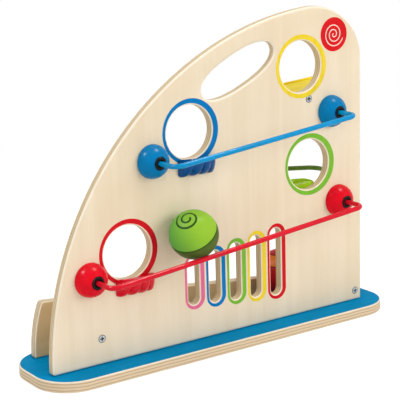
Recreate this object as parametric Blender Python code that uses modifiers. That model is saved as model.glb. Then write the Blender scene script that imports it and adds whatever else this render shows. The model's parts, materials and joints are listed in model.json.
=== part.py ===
"""A two-sided wooden ball run: painted balls roll down wire rails and drop through holes in a panel.

Metres, +Z up. X runs along the panel and the front faces -Y. The origin lies under the middle of the
whole object, on the surface that it stands on. Places on the panel are given as a distance from its
right edge, leftwards, and a height above the base board. A distance below zero is measured from the
panel's left foot instead, and a height below zero from its top.
"""
import math

import bmesh
import bpy

OBJECT_NAME = "ball_run"

# Clearances
SEAT_GAP = 0.0003            # between faces that are glued, screwed or resting on each other

# Base board, with the panel's place on it
BASE_LENGTH = 0.388
BASE_DEPTH = 0.0943
BASE_THICK = 0.010
BASE_CORNER = 0.036
BASE_EDGE_ROUND = 0.0012
PANEL_END_MARGIN = 0.0236    # from the panel's right edge to the board's right end
PANEL_FRONT_MARGIN = 0.0246  # from the board's front edge to the panel's front face

# Main panel: a quarter oval on the left, a smaller one as the top right corner
PANEL_THICK = 0.009
PANEL_HEIGHT = 0.2989
PANEL_ARCH_RUN = 0.3142      # half axis of the quarter oval along X
PANEL_ARCH_CENTRE = 0.0383   # its centre, from the right edge
PANEL_CORNER_RUN = 0.0624
PANEL_CORNER_DROP = 0.0533
PANEL_FOOT_ROUND = 0.003     # the corner where the quarter oval meets the foot
PANEL_EDGE_ROUND = 0.0022
HOLE_EDGE_ROUND = 0.0013

# Handle opening: a tilted superellipse
HANDLE_CENTRE = (0.1475, -0.0530)
HANDLE_HALF_LENGTH = 0.0438
HANDLE_HALF_HEIGHT = 0.0153
HANDLE_TILT = math.radians(24.1)
HANDLE_POWER = 2.32

# Round holes, and the slots that show the last run
HOLE_RADIUS = 0.0245
HOLES = {
    "yellow": (0.0756, -0.0563),
    "blue": (0.2034, -0.1026),
    "green": (0.0670, -0.1512),
    "red": (-0.0798, 0.0975),
}
SLOT_COUNT = 5
SLOT_WIDTH = 0.0125
SLOT_PITCH = 0.02375
SLOT_FIRST = 0.2036          # the leftmost slot's middle
SLOT_FIRST_TOP = 0.0792
SLOT_FIRST_BOTTOM = 0.0350
SLOT_TOP_STEP = 0.0031       # each slot reaches this much higher than the one on its left
SLOT_BOTTOM_STEP = 0.0023    # and this much lower

# Wire rails: where their two ends enter the panel, and on which face
RAIL_RADIUS = 0.00235
RAIL_STANDOFF = 0.0382       # from the panel's face to the wire's axis
RAIL_BEND = 0.009
RAIL_INSET = 0.006           # how deep the ends go into the panel
RAILS = {
    "blue": {"face": "front", "low": (0.2439, -0.1239), "high": (0.0392, -0.1024)},
    "green": {"face": "back", "low": (0.0200, -0.1678), "high": (0.2385, -0.1444)},
    "red": {"face": "front", "low": (-0.0409, 0.0798), "high": (0.0308, 0.1075)},
}

# Half beads and their bushes
BEAD_RADIUS = 0.0155
BEAD_HEIGHT = 0.0150
BUSH_RADIUS = 0.0058
BUSH_LENGTH = 0.0060
BUSH_PROUD = 0.0008

# Ribbed lips under the holes that end the wire runs
LIP_HALF_WIDTH = 0.019
LIP_REACH = 0.0160
LIP_HEIGHT = 0.0178
LIP_LOBES = 4
LIP_GROOVE = 0.0030
LIP_GROOVE_WIDTH = 0.96      # share of a lobe's half width that its swell takes, the rest being the groove
LIP_GROOVE_REACH = 0.6       # how much of the groove's depth the front edge follows
LIP_DISH = 0.0028
LIP_RIM = 0.0012
LIP_LEAST_REACH = 0.0036
LIP_END_RUN = 0.0070         # how far from each end the rim starts to fall
LIP_END_DROP = 0.0025        # and how far it falls
LIP_END_SHARE = 0.985        # share of the half width at which the blunt ends lie
LIP_SHIFT = 0.0055           # towards the side that the ball comes from
LIP_RISE = {"blue": 0.0023, "green": 0.0068, "red": 0.0035}   # above the hole's lowest point

# Rear wall, whose sloping top is the last run
WALL_THICK = 0.009
WALL_CHANNEL = 0.042         # between the panel's back and the wall
WALL_LEFT_TOP_HEIGHT = 0.0532
WALL_RUN_DROP = math.radians(5.8)
WALL_FOOT_LEFT = -0.0092     # its left end at the foot
WALL_END_RUN = 0.041         # half axes of the oval that this end follows upwards
WALL_END_RISE = 0.080
WALL_CORNER = 0.004
WALL_RIGHT_CORNER = 0.003
WALL_EDGE_ROUND = 0.0015

# Dowels between the panel and the rear wall
SPACER_RADIUS = 0.007
SPACER_CHAMFER = 0.0006
SPACERS = {"left": (-0.0500, 0.024), "right": (0.0082, 0.010)}

# Start shelf behind the yellow hole
SHELF_LENGTH = 0.102
SHELF_THICK = 0.015
SHELF_FLOOR_DEPTH = 0.0445
SHELF_LIP_THICK = 0.004
SHELF_LIP_HEIGHT = 0.0016
SHELF_SHIFT = 0.0151         # its middle, to the right of the hole's
SHELF_DROP = 0.0020          # its floor, below the hole's lowest point
SHELF_TILT = math.radians(4.5)
SHELF_EDGE_ROUND = 0.0008
SHELF_SCREW = (0.0657, -0.0879)

# Screws: countersunk, cross head
SCREW_HEAD_RADIUS = 0.0037
SCREW_HEAD_DEPTH = 0.0022
SCREW_SHANK_RADIUS = 0.0016
SCREW_POINT = 0.003
SCREW_SINK = 0.0002          # how far the head lies below the face
CROSS_WIDTH = 0.0009
CROSS_LENGTH = 0.0044
CROSS_DEPTH = 0.0011
PANEL_SCREW_LENGTH = 0.028
REAR_SCREW_LENGTH = 0.024
BASE_SCREW_LENGTH = 0.025
BASE_SCREWS_PANEL = (-0.0660, 0.1515, 0.0465)
BASE_SCREWS_WALL = (-0.0810, 0.0615)

# Balls
BALL_RADIUS = 0.0223
GREEN_BALL_PLACE = 0.2173    # on the red rail, from the panel's right edge
RED_BALL_PLACE = 0.0791      # on the rear wall

# Facets
OUTLINE_STEPS = 32
CORNER_STEPS = 8
FOOT_ROUND_STEPS = 3
HOLE_STEPS = 28
SLOT_END_STEPS = 6
WALL_END_STEPS = 6
HANDLE_STEPS = 32
BEND_STEPS = 5
DOME_STEPS = 5
TURN_STEPS = 20
SMALL_TURN_STEPS = 12
LOBE_STEPS = 4
LIP_ARC_STEPS = 5
BALL_SEGMENTS = 24
BALL_RINGS = 12

# Places worked out from the sizes above
PANEL_WIDTH = PANEL_ARCH_CENTRE + PANEL_ARCH_RUN
PANEL_RIGHT_X = BASE_LENGTH / 2 - PANEL_END_MARGIN
BASE_BEHIND_FACE = BASE_DEPTH - PANEL_FRONT_MARGIN
FRONT_REACH = max(RAIL_STANDOFF + RAIL_RADIUS, 2 * BALL_RADIUS + SEAT_GAP)
PANEL_FRONT_Y = (FRONT_REACH - BASE_BEHIND_FACE) / 2
PANEL_BACK_Y = PANEL_FRONT_Y + PANEL_THICK
WALL_FRONT_Y = PANEL_BACK_Y + WALL_CHANNEL
WALL_BACK_Y = WALL_FRONT_Y + WALL_THICK
FOOT_Z = BASE_THICK + SEAT_GAP
FACES = {"front": (PANEL_FRONT_Y, -1), "back": (PANEL_BACK_Y, 1)}


def place_x(from_right):
    """World X of a distance from the panel's right edge or, below zero, from its left foot."""
    if from_right < 0:
        return PANEL_RIGHT_X - PANEL_WIDTH - from_right
    return PANEL_RIGHT_X - from_right


def place_z(height):
    """World Z of a height above the base board or, below zero, from the panel's top."""
    if height < 0:
        return BASE_THICK + PANEL_HEIGHT + height
    return BASE_THICK + height


def new_collection(name):
    collection = bpy.data.collections.new(name)
    bpy.context.scene.collection.children.link(collection)
    return collection


def clear_scene():
    for item in list(bpy.data.objects):
        bpy.data.objects.remove(item, do_unlink=True)


clear_scene()
PARTS = new_collection(OBJECT_NAME)
CUTTERS = new_collection("cutters")


def make_material(name, colour, roughness, metallic=0.0):
    material = bpy.data.materials.new(name)
    material.use_nodes = True
    shader = material.node_tree.nodes["Principled BSDF"]
    shader.inputs["Base Color"].default_value = (*colour, 1.0)
    shader.inputs["Roughness"].default_value = roughness
    shader.inputs["Metallic"].default_value = metallic
    return material


PLYWOOD = make_material("plywood", (0.80, 0.70, 0.51), 0.55)
BASE_BLUE = make_material("base_blue", (0.005, 0.23, 0.48), 0.45)
DOWEL_WOOD = make_material("dowel_wood", (0.72, 0.58, 0.38), 0.60)
SHELF_YELLOW = make_material("shelf_yellow", (0.83, 0.62, 0.03), 0.40)
STEEL = make_material("screw_steel", (0.55, 0.56, 0.56), 0.35, 1.0)
BUSH_BLACK = make_material("bush_black", (0.015, 0.013, 0.013), 0.40)
BALL_GREEN = make_material("ball_green", (0.22, 0.58, 0.03), 0.30)
BALL_RED = make_material("ball_red", (0.62, 0.02, 0.02), 0.30)
WIRE_PAINT = {
    "blue": make_material("wire_blue", (0.005, 0.30, 0.62), 0.30),
    "green": make_material("wire_green", (0.11, 0.22, 0.04), 0.30),
    "red": make_material("wire_red", (0.66, 0.02, 0.04), 0.30),
}
BEAD_PAINT = {
    "blue": make_material("bead_blue", (0.005, 0.31, 0.63), 0.20),
    "green": make_material("bead_green", (0.22, 0.55, 0.05), 0.20),
    "red": make_material("bead_red", (0.70, 0.01, 0.03), 0.20),
}
LIP_PLASTIC = {
    "blue": make_material("lip_blue", (0.004, 0.06, 0.25), 0.30),
    "green": make_material("lip_green", (0.24, 0.58, 0.03), 0.30),
    "red": make_material("lip_red", (0.62, 0.01, 0.03), 0.30),
}


def add_part(name, data, material, location=(0, 0, 0), rotation=(0, 0, 0)):
    """Puts mesh or curve data into the scene as a named part."""
    item = bpy.data.objects.new(name, data)
    PARTS.objects.link(item)
    item.location = location
    item.rotation_euler = rotation
    data.materials.append(material)
    return item


def add_cutter(name, mesh, location, rotation=(0, 0, 0)):
    item = bpy.data.objects.new(name, mesh)
    CUTTERS.objects.link(item)
    item.location = location
    item.rotation_euler = rotation
    item.hide_render = True
    item.display_type = "WIRE"
    return item


def cut(part, cutter):
    modifier = part.modifiers.new(cutter.name, "BOOLEAN")
    modifier.operation = "DIFFERENCE"
    modifier.solver = "EXACT"
    modifier.object = cutter


def smooth(mesh, angle=math.radians(35)):
    mesh.shade_smooth()
    mesh.set_sharp_from_angle(angle=angle)


# Outlines

def oval_arc(centre, half_x, half_z, start, end, steps):
    """Points of an oval's arc between two angles, both ends included."""
    angles = [start + (end - start) * i / steps for i in range(steps + 1)]
    return [(centre[0] + half_x * math.cos(a), centre[1] + half_z * math.sin(a)) for a in angles]


def circle(centre, radius, steps):
    return oval_arc(centre, radius, radius, 0, 2 * math.pi * (1 - 1 / steps), steps - 1)


def slot(centre_x, bottom, top, width, steps):
    """A vertical slot with half-round ends."""
    half = width / 2
    upper = oval_arc((centre_x, top - half), half, half, 0, math.pi, steps)
    lower = oval_arc((centre_x, bottom + half), half, half, math.pi, 2 * math.pi, steps)
    return upper + lower


def superellipse(centre, half_length, half_height, tilt, power, steps):
    points = []
    for i in range(steps):
        angle = 2 * math.pi * i / steps
        cosine = math.cos(angle)
        sine = math.sin(angle)
        along = half_length * math.copysign(abs(cosine) ** (2 / power), cosine)
        across = half_height * math.copysign(abs(sine) ** (2 / power), sine)
        x = centre[0] + along * math.cos(tilt) - across * math.sin(tilt)
        z = centre[1] + along * math.sin(tilt) + across * math.cos(tilt)
        points.append((x, z))
    return points


def rounded_polygon(corners, radii, steps):
    """An outline whose corners are replaced by arcs that touch both sides."""
    points = []
    count = len(corners)
    for i in range(count):
        here = corners[i]
        before = corners[i - 1]
        after = corners[(i + 1) % count]
        radius = radii[i]
        if radius == 0:
            points.append(here)
            continue
        to_before = math.atan2(before[1] - here[1], before[0] - here[0])
        to_after = math.atan2(after[1] - here[1], after[0] - here[0])
        turn = (to_after - to_before + math.pi) % (2 * math.pi) - math.pi
        middle = to_before + turn / 2
        reach = radius / math.sin(abs(turn) / 2)
        centre = (here[0] + reach * math.cos(middle), here[1] + reach * math.sin(middle))
        sweep = math.copysign(math.pi - abs(turn), turn)
        for step in range(steps + 1):
            angle = middle + math.pi + sweep / 2 - sweep * step / steps
            x = centre[0] + radius * math.cos(angle)
            y = centre[1] + radius * math.sin(angle)
            points.append((x, y))
    return points


def plate(name, outer, holes, thickness):
    """Mesh of a flat plate in its own XY plane, centred on it in Z, with square edges."""
    curve = bpy.data.curves.new(name, "CURVE")
    curve.dimensions = "2D"
    curve.fill_mode = "BOTH"
    curve.extrude = thickness / 2
    for outline in [outer, *holes]:
        spline = curve.splines.new("POLY")
        spline.points.add(len(outline) - 1)
        for point, (x, y) in zip(spline.points, outline):
            point.co = (x, y, 0, 1)
        spline.use_cyclic_u = True
    source = bpy.data.objects.new(name + "_outline", curve)
    bpy.context.scene.collection.objects.link(source)
    bpy.context.view_layer.update()
    evaluated = source.evaluated_get(bpy.context.evaluated_depsgraph_get())
    mesh = bpy.data.meshes.new_from_object(evaluated)
    bpy.data.objects.remove(source, do_unlink=True)
    bpy.data.curves.remove(curve)
    work = bmesh.new()
    work.from_mesh(mesh)
    bmesh.ops.remove_doubles(work, verts=work.verts, dist=0.00001)
    bmesh.ops.dissolve_limit(work, angle_limit=math.radians(0.5), verts=work.verts, edges=work.edges)
    bmesh.ops.recalc_face_normals(work, faces=work.faces)
    work.to_mesh(mesh)
    work.free()
    mesh.name = name
    return mesh


def weigh_rims(mesh, outer, outer_weight, inner_weight):
    """Gives the edges around the flat faces a bevel weight: one for the outer rim, one for the holes."""
    on_outer = {(round(x, 5), round(y, 5)) for x, y in outer}
    work = bmesh.new()
    work.from_mesh(mesh)
    layer = work.edges.layers.float.new("bevel_weight_edge")
    for edge in work.edges:
        flat = abs(edge.verts[0].co.z - edge.verts[1].co.z) < 1e-6
        wall_meets_face = edge.is_manifold and edge.calc_face_angle() > math.radians(60)
        if flat and wall_meets_face:
            place = (round(edge.verts[0].co.x, 5), round(edge.verts[0].co.y, 5))
            edge[layer] = outer_weight if place in on_outer else inner_weight
    work.to_mesh(mesh)
    work.free()


def add_bevel(part, width, segments=2, by_weight=False):
    modifier = part.modifiers.new("edge_round", "BEVEL")
    modifier.width = width
    modifier.segments = segments
    modifier.use_clamp_overlap = False
    modifier.limit_method = "WEIGHT" if by_weight else "ANGLE"
    modifier.angle_limit = math.radians(50)
    return modifier


# Turned pieces

def turned(name, profile, steps, closed):
    """Mesh turned around Z. The profile lists (radius, height) down the outer side, top to bottom."""
    mesh = bpy.data.meshes.new(name)
    verts = [(radius, 0, height) for radius, height in profile]
    edges = [(i, i + 1) for i in range(len(verts) - 1)]
    if closed:
        edges.append((len(verts) - 1, 0))
    mesh.from_pydata(verts, edges, [])
    source = bpy.data.objects.new(name, mesh)
    bpy.context.scene.collection.objects.link(source)
    modifier = source.modifiers.new("turn", "SCREW")
    modifier.axis = "Z"
    modifier.steps = steps
    modifier.render_steps = steps
    modifier.use_merge_vertices = True
    modifier.merge_threshold = 0.00001
    bpy.context.view_layer.update()
    evaluated = source.evaluated_get(bpy.context.evaluated_depsgraph_get())
    result = bpy.data.meshes.new_from_object(evaluated)
    bpy.data.objects.remove(source, do_unlink=True)
    bpy.data.meshes.remove(mesh)
    result.name = name
    return result


def outer_radius(radius, steps):
    """Radius at the corners of a polygon whose flats lie on the given circle."""
    return radius / math.cos(math.pi / steps)


def box_mesh(name, size_x, size_y, size_z):
    mesh = bpy.data.meshes.new(name)
    work = bmesh.new()
    bmesh.ops.create_cube(work, size=1.0)
    bmesh.ops.scale(work, vec=(size_x, size_y, size_z), verts=work.verts)
    work.to_mesh(mesh)
    work.free()
    return mesh


# Turned meshes point along their own +Z, which these rotations send out of a face
OUT_OF = {
    "front": (math.radians(90), 0, 0),
    "back": (math.radians(-90), 0, 0),
    "below": (math.radians(180), 0, 0),
}


def make_base_board():
    half_length = BASE_LENGTH / 2
    front = PANEL_FRONT_Y - PANEL_FRONT_MARGIN
    back = front + BASE_DEPTH
    corners = [(half_length, front), (half_length, back), (-half_length, back), (-half_length, front)]
    outline = rounded_polygon(corners, [BASE_CORNER] * 4, CORNER_STEPS)
    mesh = plate("base_board", outline, [], BASE_THICK)
    part = add_part("base_board", mesh, BASE_BLUE, (0, 0, BASE_THICK / 2))
    add_bevel(part, BASE_EDGE_ROUND)
    smooth(mesh)
    return part


def panel_outline():
    """The panel seen from the front: right edge, rounded corner, quarter oval, straight foot."""
    right = place_x(0)
    foot = FOOT_Z
    corner_centre = (right - PANEL_CORNER_RUN, place_z(PANEL_HEIGHT - PANEL_CORNER_DROP))
    arch_centre = (place_x(PANEL_ARCH_CENTRE), place_z(0))
    arch_height = PANEL_HEIGHT
    # The corner starts where the quarter oval passes over the corner's centre.
    meet = math.acos((corner_centre[0] - arch_centre[0]) / PANEL_ARCH_RUN)
    low = math.pi - math.asin(SEAT_GAP / arch_height)
    arch = oval_arc(arch_centre, PANEL_ARCH_RUN, arch_height, meet, low, OUTLINE_STEPS)
    corner_rise = arch[0][1] - corner_centre[1]
    corner = oval_arc(corner_centre, PANEL_CORNER_RUN, corner_rise, 0, math.pi / 2, CORNER_STEPS)
    points = [(right, foot)] + corner + arch[1:]
    radii = [0] * (len(points) - 1) + [PANEL_FOOT_ROUND]
    return rounded_polygon(points, radii, FOOT_ROUND_STEPS)


def make_main_panel():
    outer = panel_outline()
    handle_centre = (place_x(HANDLE_CENTRE[0]), place_z(HANDLE_CENTRE[1]))
    holes = [
        superellipse(
            handle_centre, HANDLE_HALF_LENGTH, HANDLE_HALF_HEIGHT, HANDLE_TILT, HANDLE_POWER, HANDLE_STEPS
        )
    ]
    for from_right, height in HOLES.values():
        holes.append(circle((place_x(from_right), place_z(height)), HOLE_RADIUS, HOLE_STEPS))
    for i in range(SLOT_COUNT):
        middle = place_x(SLOT_FIRST) + i * SLOT_PITCH
        bottom = place_z(SLOT_FIRST_BOTTOM) - i * SLOT_BOTTOM_STEP
        top = place_z(SLOT_FIRST_TOP) + i * SLOT_TOP_STEP
        holes.append(slot(middle, bottom, top, SLOT_WIDTH, SLOT_END_STEPS))
    mesh = plate("main_panel", outer, holes, PANEL_THICK)
    weigh_rims(mesh, outer, 1.0, HOLE_EDGE_ROUND / PANEL_EDGE_ROUND)
    middle_y = (PANEL_FRONT_Y + PANEL_BACK_Y) / 2
    part = add_part("main_panel", mesh, PLYWOOD, (0, middle_y, 0), OUT_OF["front"])
    add_bevel(part, PANEL_EDGE_ROUND, by_weight=True)
    smooth(mesh)
    return part


def wall_top(x):
    """World Z of the rear wall's top edge at a world X."""
    return place_z(WALL_LEFT_TOP_HEIGHT) - (x - place_x(WALL_FOOT_LEFT)) * math.tan(WALL_RUN_DROP)


def wall_end():
    """The rear wall's left end from its top corner to its foot, as points on an oval."""
    centre = (place_x(WALL_FOOT_LEFT) + WALL_END_RUN, place_z(0))
    whole = oval_arc(centre, WALL_END_RUN, WALL_END_RISE, math.pi / 2, math.pi, OUTLINE_STEPS)
    low = math.pi - math.asin(SEAT_GAP / WALL_END_RISE)
    meet = next(i for i, (x, z) in enumerate(whole) if z < wall_top(x))
    above, below = whole[meet - 1], whole[meet]
    over, under = above[1] - wall_top(above[0]), wall_top(below[0]) - below[1]
    share = over / (over + under)
    corner_x = above[0] + (below[0] - above[0]) * share
    high = math.pi - math.acos((centre[0] - corner_x) / WALL_END_RUN)
    return oval_arc(centre, WALL_END_RUN, WALL_END_RISE, high, low, WALL_END_STEPS)


def make_rear_wall():
    right = place_x(0)
    end = wall_end()
    corners = [(right, FOOT_Z), (right, wall_top(right))] + end
    radii = [0, WALL_RIGHT_CORNER, WALL_CORNER] + [0] * (len(end) - 1)
    outline = rounded_polygon(corners, radii, SLOT_END_STEPS)
    mesh = plate("rear_wall", outline, [], WALL_THICK)
    middle_y = (WALL_FRONT_Y + WALL_BACK_Y) / 2
    part = add_part("rear_wall", mesh, PLYWOOD, (0, middle_y, 0), OUT_OF["front"])
    add_bevel(part, WALL_EDGE_ROUND)
    smooth(mesh)
    return part


def screw_profile(length, gap=0.0):
    """Half outline of a countersunk screw whose head's face is at height 0, or of its hole."""
    steps = SMALL_TURN_STEPS
    head = SCREW_HEAD_RADIUS if gap == 0 else outer_radius(SCREW_HEAD_RADIUS + gap, steps)
    shank = SCREW_SHANK_RADIUS if gap == 0 else outer_radius(SCREW_SHANK_RADIUS + gap, steps)
    neck = -SCREW_HEAD_DEPTH - gap
    top = 0.0 if gap == 0 else 2 * gap + SCREW_SINK
    rim = -SCREW_SINK if gap == 0 else 0.0
    point = -length - gap
    return [(0, top), (head, top), (head, rim), (shank, neck), (shank, point + SCREW_POINT), (0, point)]


def screw_mesh(name, length):
    """A screw along its own Z, head at the top, with the cross recess cut in."""
    body = turned(name + "_body", screw_profile(length), SMALL_TURN_STEPS, closed=False)
    source = bpy.data.objects.new(name + "_body", body)
    bpy.context.scene.collection.objects.link(source)
    arms = []
    for turn in (0, math.pi / 2):
        arm = add_cutter(
            name + "_cross", box_mesh(name + "_cross", CROSS_LENGTH, CROSS_WIDTH, 2 * CROSS_DEPTH),
            (0, 0, 0), (0, 0, turn),
        )
        cut(source, arm)
        arms.append(arm)
    bpy.context.view_layer.update()
    evaluated = source.evaluated_get(bpy.context.evaluated_depsgraph_get())
    mesh = bpy.data.meshes.new_from_object(evaluated)
    mesh.name = name
    for item in [source, *arms]:
        bpy.data.objects.remove(item, do_unlink=True)
    smooth(mesh)
    return mesh


def add_screw(name, length, location, facing, held):
    """A screw with its head flush in the first held piece, and its hole through all of them."""
    add_part(name, screw_mesh(name, length), STEEL, location, OUT_OF[facing])
    hole = turned(name + "_hole", screw_profile(length, SEAT_GAP), SMALL_TURN_STEPS, closed=False)
    cutter = add_cutter(name + "_hole", hole, location, OUT_OF[facing])
    for piece in held:
        cut(piece, cutter)


def make_spacer(side, from_right, height):
    """A dowel between the panel and the rear wall, with a hole along it for both screws."""
    length = WALL_CHANNEL - 2 * SEAT_GAP
    bore = outer_radius(SCREW_SHANK_RADIUS + SEAT_GAP, TURN_STEPS)
    rim = SPACER_RADIUS - SPACER_CHAMFER
    profile = [
        (bore, length / 2),
        (rim, length / 2),
        (SPACER_RADIUS, length / 2 - SPACER_CHAMFER),
        (SPACER_RADIUS, -length / 2 + SPACER_CHAMFER),
        (rim, -length / 2),
        (bore, -length / 2),
    ]
    name = "spacer_" + side
    mesh = turned(name, profile, TURN_STEPS, closed=True)
    smooth(mesh)
    middle_y = PANEL_BACK_Y + WALL_CHANNEL / 2
    add_part(name, mesh, DOWEL_WOOD, (place_x(from_right), middle_y, place_z(height)), OUT_OF["front"])


def make_start_shelf():
    """A block with a low lip along its rear edge, its section drawn in Y and Z and drawn out along X."""
    hole_from_right, hole_height = HOLES["yellow"]
    rear = SHELF_FLOOR_DEPTH + SHELF_LIP_THICK
    section = [
        (SEAT_GAP, -SHELF_THICK),
        (rear, -SHELF_THICK),
        (rear, SHELF_LIP_HEIGHT),
        (SHELF_FLOOR_DEPTH, SHELF_LIP_HEIGHT),
        (SHELF_FLOOR_DEPTH, 0),
        (SEAT_GAP, 0),
    ]
    mesh = plate("start_shelf", section, [], SHELF_LENGTH)
    # The section's own X and Y become world Y and Z, and its thickness runs along X, rising rightwards.
    stand = (math.radians(90) - SHELF_TILT, 0, math.radians(90))
    floor = place_z(hole_height) - HOLE_RADIUS - SHELF_DROP
    middle = (
        place_x(hole_from_right) + SHELF_SHIFT,
        PANEL_BACK_Y,
        floor + SHELF_SHIFT * math.tan(SHELF_TILT),
    )
    part = add_part("start_shelf", mesh, SHELF_YELLOW, middle, stand)
    add_bevel(part, SHELF_EDGE_ROUND)
    smooth(mesh)
    return part


# Rails, beads, bushes and lips

def rail_end(colour, end):
    """World X and Z where a rail's low or high end enters the panel."""
    from_right, height = RAILS[colour][end]
    return place_x(from_right), place_z(height)


def rail_points(colour):
    """The wire's axis: out of the panel, along it and back in, as points in world space."""
    face_y, out = FACES[RAILS[colour]["face"]]
    low_x, low_z = rail_end(colour, "low")
    high_x, high_z = rail_end(colour, "high")
    length = math.hypot(high_x - low_x, high_z - low_z)
    inner = -RAIL_INSET + SEAT_GAP
    run = [(0, inner)]
    run += oval_arc((RAIL_BEND, RAIL_STANDOFF - RAIL_BEND), RAIL_BEND, RAIL_BEND, math.pi, math.pi / 2, BEND_STEPS)
    run += oval_arc(
        (length - RAIL_BEND, RAIL_STANDOFF - RAIL_BEND), RAIL_BEND, RAIL_BEND, math.pi / 2, 0, BEND_STEPS
    )
    run.append((length, inner))
    points = []
    for along, away in run:
        share = along / length
        x = low_x + (high_x - low_x) * share
        z = low_z + (high_z - low_z) * share
        points.append((x, face_y + out * away, z))
    return points


def make_rail(colour):
    name = colour + "_rail"
    curve = bpy.data.curves.new(name, "CURVE")
    curve.dimensions = "3D"
    curve.bevel_depth = RAIL_RADIUS
    curve.bevel_resolution = 2
    curve.use_fill_caps = True
    points = rail_points(colour)
    spline = curve.splines.new("POLY")
    spline.points.add(len(points) - 1)
    start = points[0]
    for point, (x, y, z) in zip(spline.points, points):
        point.co = (x - start[0], y - start[1], z - start[2], 1)
    add_part(name, curve, WIRE_PAINT[colour], start)


def bead_mesh(name):
    """Half a bead: a dome with a flat foot, a hole for the wire and a wider one for the bush."""
    bore = outer_radius(RAIL_RADIUS + SEAT_GAP, TURN_STEPS)
    seat = outer_radius(BUSH_RADIUS + SEAT_GAP, TURN_STEPS)
    top = math.acos(seat / BEAD_RADIUS)
    dome = oval_arc((0, 0), BEAD_RADIUS, BEAD_HEIGHT, top, 0, DOME_STEPS)
    seat_floor = dome[0][1] + BUSH_PROUD - BUSH_LENGTH - SEAT_GAP
    profile = dome + [(bore, 0), (bore, seat_floor), (seat, seat_floor)]
    mesh = turned(name, profile, TURN_STEPS, closed=True)
    smooth(mesh)
    return mesh


def bush_top():
    """Height of a bush's outer end above the bead's foot."""
    seat = outer_radius(BUSH_RADIUS + SEAT_GAP, TURN_STEPS)
    return BEAD_HEIGHT * math.sin(math.acos(seat / BEAD_RADIUS)) + BUSH_PROUD


def bush_mesh(name):
    bore = outer_radius(RAIL_RADIUS + SEAT_GAP, SMALL_TURN_STEPS)
    top = bush_top()
    foot = top - BUSH_LENGTH
    rim = BUSH_RADIUS - BUSH_PROUD
    profile = [(bore, top), (rim, top), (BUSH_RADIUS, top - BUSH_PROUD), (BUSH_RADIUS, foot), (bore, foot)]
    mesh = turned(name, profile, SMALL_TURN_STEPS, closed=True)
    smooth(mesh)
    return mesh


def make_rail_end(colour, end, panel):
    """The half bead and bush at one end of a rail, and the blind hole that the wire sits in."""
    face = RAILS[colour]["face"]
    face_y, out = FACES[face]
    end_x, end_z = rail_end(colour, end)
    foot = (end_x, face_y + out * SEAT_GAP, end_z)
    rotation = OUT_OF[face]
    name = f"{colour}_bead_{end}"
    add_part(name, bead_mesh(name), BEAD_PAINT[colour], foot, rotation)
    name = f"{colour}_bush_{end}"
    add_part(name, bush_mesh(name), BUSH_BLACK, foot, rotation)
    bore = outer_radius(RAIL_RADIUS + SEAT_GAP, SMALL_TURN_STEPS)
    profile = [(0, SEAT_GAP), (bore, SEAT_GAP), (bore, -RAIL_INSET), (0, -RAIL_INSET)]
    hole = turned(name + "_hole", profile, SMALL_TURN_STEPS, closed=False)
    on_face = (end_x, face_y, end_z)
    cut(panel, add_cutter(name + "_hole", hole, on_face, rotation))


def lip_section(across):
    """Half-open section of a lip at a place across it: (distance from the panel, height), top first."""
    lobe_half = LIP_HALF_WIDTH / LIP_LOBES
    in_lobe = ((across + LIP_HALF_WIDTH) / lobe_half) % 2 - 1
    dip = LIP_GROOVE * (1 - math.sqrt(max(0.0, 1 - (in_lobe * LIP_GROOVE_WIDTH) ** 2)))
    oval = math.sqrt(max(0.0, 1 - (across / LIP_HALF_WIDTH) ** 2))
    reach = max(LIP_REACH * oval - LIP_GROOVE_REACH * dip, LIP_LEAST_REACH)
    near_end = max(0.0, (abs(across) - LIP_HALF_WIDTH + LIP_END_RUN) / LIP_END_RUN)
    rim = -LIP_END_DROP * (1 - math.sqrt(1 - near_end ** 2))
    height = LIP_HEIGHT - dip + rim
    dish = rim - LIP_DISH * oval
    points = [(SEAT_GAP, dish), (reach - 2 * LIP_RIM, dish), (reach - LIP_RIM, rim)]
    points += oval_arc((SEAT_GAP, rim), reach - SEAT_GAP, -height, math.radians(4), math.pi / 2, LIP_ARC_STEPS)
    return points


def make_lip(colour):
    """A moulded shell-shaped lip: a loft of like sections whose lower side swells over each lobe."""
    hole_from_right, hole_height = HOLES[colour]
    face_y, out = FACES[RAILS[colour]["face"]]
    work = bmesh.new()
    rings = []
    count = LIP_LOBES * LOBE_STEPS
    edge = LIP_HALF_WIDTH * LIP_END_SHARE
    for i in range(count + 1):
        across = -edge + 2 * edge * i / count
        ring = [work.verts.new((across, -away, height)) for away, height in lip_section(across)]
        rings.append(ring)
    for near, far in zip(rings, rings[1:]):
        for j in range(len(near)):
            k = (j + 1) % len(near)
            work.faces.new((near[j], near[k], far[k], far[j]))
    work.faces.new(rings[0])
    work.faces.new(rings[-1])
    bmesh.ops.recalc_face_normals(work, faces=work.faces)
    mesh = bpy.data.meshes.new(colour + "_lip")
    work.to_mesh(mesh)
    work.free()
    smooth(mesh, math.radians(50))
    top = place_z(hole_height) - HOLE_RADIUS + LIP_RISE[colour]
    place = (place_x(hole_from_right) - out * LIP_SHIFT, face_y, top)
    turn = (0, 0, 0 if out < 0 else math.pi)
    add_part(colour + "_lip", mesh, LIP_PLASTIC[colour], place, turn)


# Balls

def add_ball(name, material, centre):
    mesh = bpy.data.meshes.new(name)
    work = bmesh.new()
    bmesh.ops.create_uvsphere(work, u_segments=BALL_SEGMENTS, v_segments=BALL_RINGS, radius=BALL_RADIUS)
    work.to_mesh(mesh)
    work.free()
    mesh.shade_smooth()
    add_part(name, mesh, material, centre)


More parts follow.
